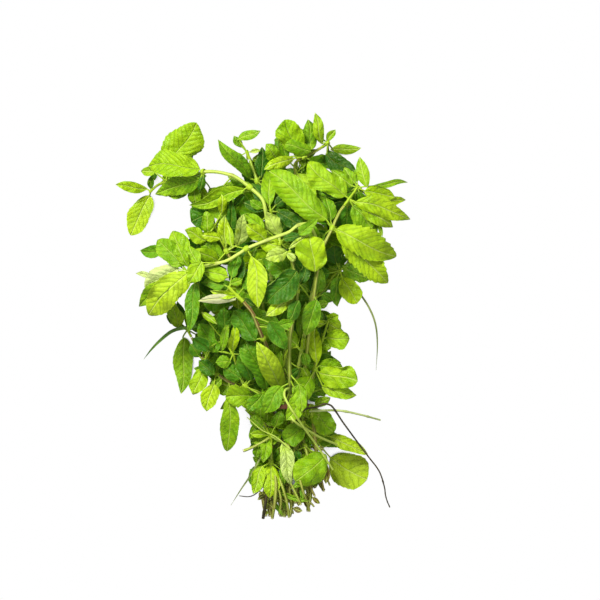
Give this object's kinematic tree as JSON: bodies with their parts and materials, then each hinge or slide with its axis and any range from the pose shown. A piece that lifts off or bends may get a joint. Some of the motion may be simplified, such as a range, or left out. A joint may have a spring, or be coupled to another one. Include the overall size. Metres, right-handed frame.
{
  "type": "mint bunch",
  "caption": "Fresh mint bunch lying on its side: leafy sprigs on square stems, tied at the waist, with cut stem ends, grass blades and a dry stalk.",
  "frame": {"origin": "centre of the bounding box in X and Y, at the table the bunch lies on", "axes": "+Y along the bunch from the cut ends to the leaf tips, +Z up from the table, +X to the right seen from above with +Y up"},
  "size_m": [0.2072, 0.2846, 0.0789],
  "materials": {
    "leaf": "soft matte, veined, light green with a paler underside",
    "stem": "satin, pale green, browner towards the cut ends",
    "grass": "matte grey-green with fine lengthwise ribs",
    "dry_stem": "matte, dark brown-green, dried",
    "tie": "matte reddish brown"
  },
  "bodies": {
    "root": {"sprig_01_stem": "stem", "sprig_02_stem": "stem", "sprig_03_stem": "stem", "sprig_04_stem": "stem", "sprig_05_stem": "stem", "sprig_06_stem": "stem", "sprig_07_stem": "stem", "sprig_08_stem": "stem", "sprig_09_stem": "stem", "sprig_10_stem": "stem", "sprig_11_stem": "stem", "sprig_12_stem": "stem", "sprig_13_stem": "stem", "sprig_14_stem": "stem", "sprig_15_stem": "stem", "sprig_16_stem": "stem", "sprig_17_stem": "stem", "sprig_18_stem": "stem", "sprig_01_top_leaves": "leaf", "sprig_02_top_leaves": "leaf", "sprig_03_top_leaves": "leaf", "sprig_04_top_leaves": "leaf", "sprig_05_top_leaves": "leaf", "sprig_06_top_leaves": "leaf", "sprig_07_top_leaves": "leaf", "sprig_08_top_leaves": "leaf", "sprig_09_top_leaves": "leaf", "sprig_10_top_leaves": "leaf", "sprig_11_top_leaves": "leaf", "sprig_12_top_leaves": "leaf", "sprig_13_top_leaves": "leaf", "sprig_14_top_leaves": "leaf", "sprig_15_top_leaves": "leaf", "sprig_16_top_leaves": "leaf", "sprig_17_top_leaves": "leaf", "sprig_18_top_leaves": "leaf", "sprig_01_side_a_leaves": "leaf", "sprig_01_side_b_leaves": "leaf", "sprig_02_side_a_leaves": "leaf", "sprig_03_side_a_leaves": "leaf", "sprig_04_side_a_leaves": "leaf", "sprig_05_side_a_leaves": "leaf", "sprig_06_side_c_leaves": "leaf", "sprig_07_side_b_leaves": "leaf", "sprig_07_side_c_leaves": "leaf", "sprig_08_side_a_leaves": "leaf", "sprig_09_side_a_leaves": "leaf", "sprig_10_side_a_leaves": "leaf", "sprig_12_side_c_leaves": "leaf", "sprig_14_side_a_leaves": "leaf", "sprig_16_side_a_leaves": "leaf", "sprig_16_side_b_leaves": "leaf", "sprig_17_side_b_leaves": "leaf", "dry_stem": "dry_stem", "bent_stalk": "stem", "grass_blade_right": "grass", "grass_blade_left": "grass", "grass_blade_low": "grass", "tie_band": "tie"}
  },
  "joints": []
}
